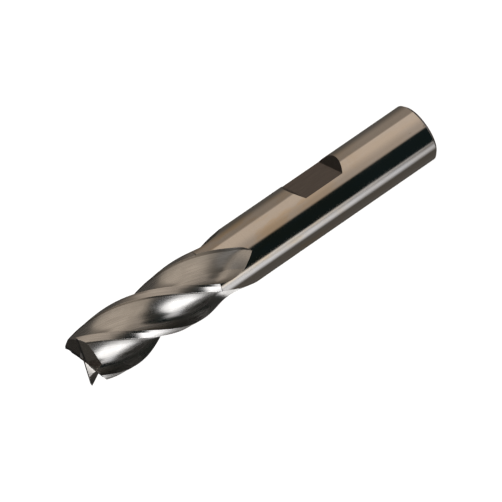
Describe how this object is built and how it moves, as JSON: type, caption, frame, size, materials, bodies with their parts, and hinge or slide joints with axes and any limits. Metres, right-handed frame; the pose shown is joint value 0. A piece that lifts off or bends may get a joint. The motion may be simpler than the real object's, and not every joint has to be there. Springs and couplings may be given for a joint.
{
  "type": "end mill",
  "caption": "Centre-cutting end mill with helical flutes, relieved side and end teeth, and a round side-lock shank with a set-screw flat.",
  "frame": {"origin": "centre of the shank's back end face", "axes": "+Z along the tool axis from the back end to the cutting end; the set-screw flat faces -Y"},
  "size_m": [0.0096, 0.0096, 0.0635],
  "materials": {
    "ground_high_speed_steel": "fine ground high-speed steel, bright relief facets, satin flutes with grinding lines",
    "polished_tool_steel": "ground and polished round shank with a faint straw tint, matte ground set-screw flat"
  },
  "bodies": {
    "root": {"cutting_head": "ground_high_speed_steel", "shank": "polished_tool_steel"}
  },
  "joints": []
}
